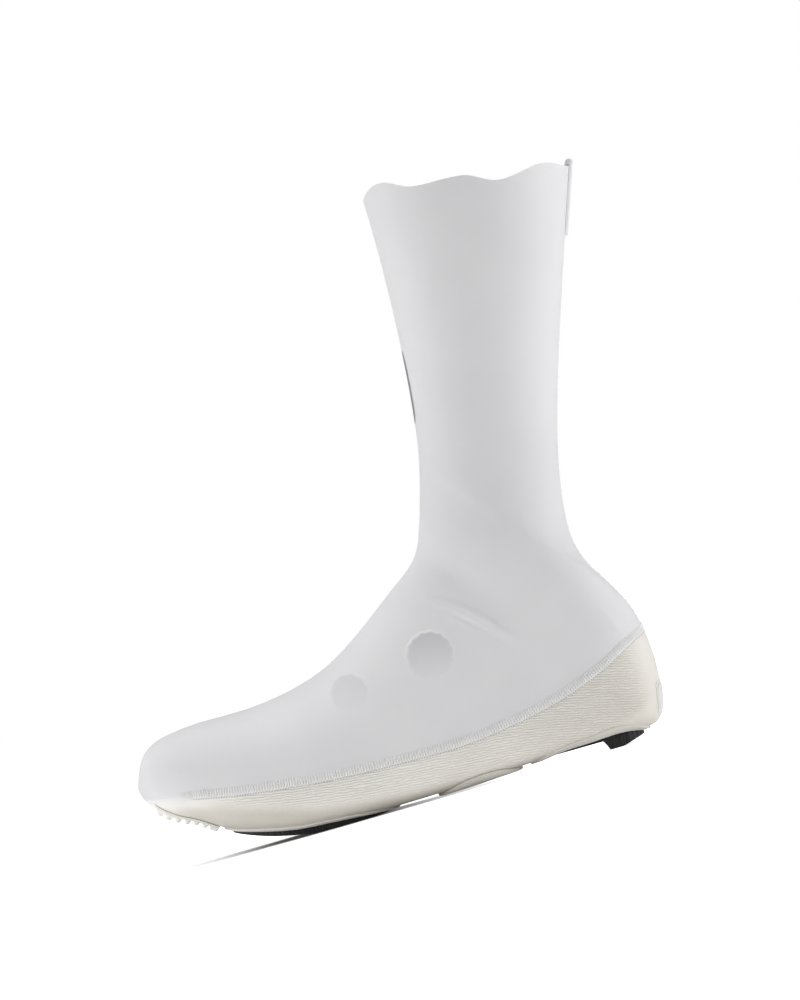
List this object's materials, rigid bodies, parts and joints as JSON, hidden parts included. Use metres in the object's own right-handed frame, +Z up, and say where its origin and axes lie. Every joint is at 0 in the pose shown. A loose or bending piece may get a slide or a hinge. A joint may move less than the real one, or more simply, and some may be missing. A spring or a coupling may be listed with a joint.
{
  "type": "rain overshoe",
  "caption": "Tall close-fitting left rain overshoe of white stretch fabric with a ribbed rand, black tread plates, toothed toe tread and a pull tab at the wavy collar.",
  "frame": {"origin": "on the floor, under the middle of the whole: centre of the bounding box in X and Y, and its lowest height", "axes": "+Z up, +X from toe to heel, -Y the outer side, which the dial bumps are on"},
  "size_m": [0.3182, 0.106, 0.327],
  "materials": {
    "stretch_fabric": "white laminated stretch fabric, smooth and matte",
    "rib_fabric": "cream woven fabric with fine cords, matte",
    "seam_thread": "overlock stitching in cream thread",
    "hem_fabric": "turned hem, matte",
    "toe_rubber": "pale grey moulded rubber, satin",
    "sole_rubber": "black moulded rubber, matte",
    "tape": "white woven tape, satin"
  },
  "bodies": {
    "root": {"upper": "stretch_fabric", "rand": "rib_fabric", "seam_band": "seam_thread", "forefoot_outsole": "sole_rubber", "heel_pad": "sole_rubber", "forefoot_hem": "hem_fabric", "heel_hem": "hem_fabric", "arch_strap": "hem_fabric", "toe_bumper": "toe_rubber", "heel_strip": "toe_rubber", "collar_tab": "tape"}
  },
  "joints": []
}
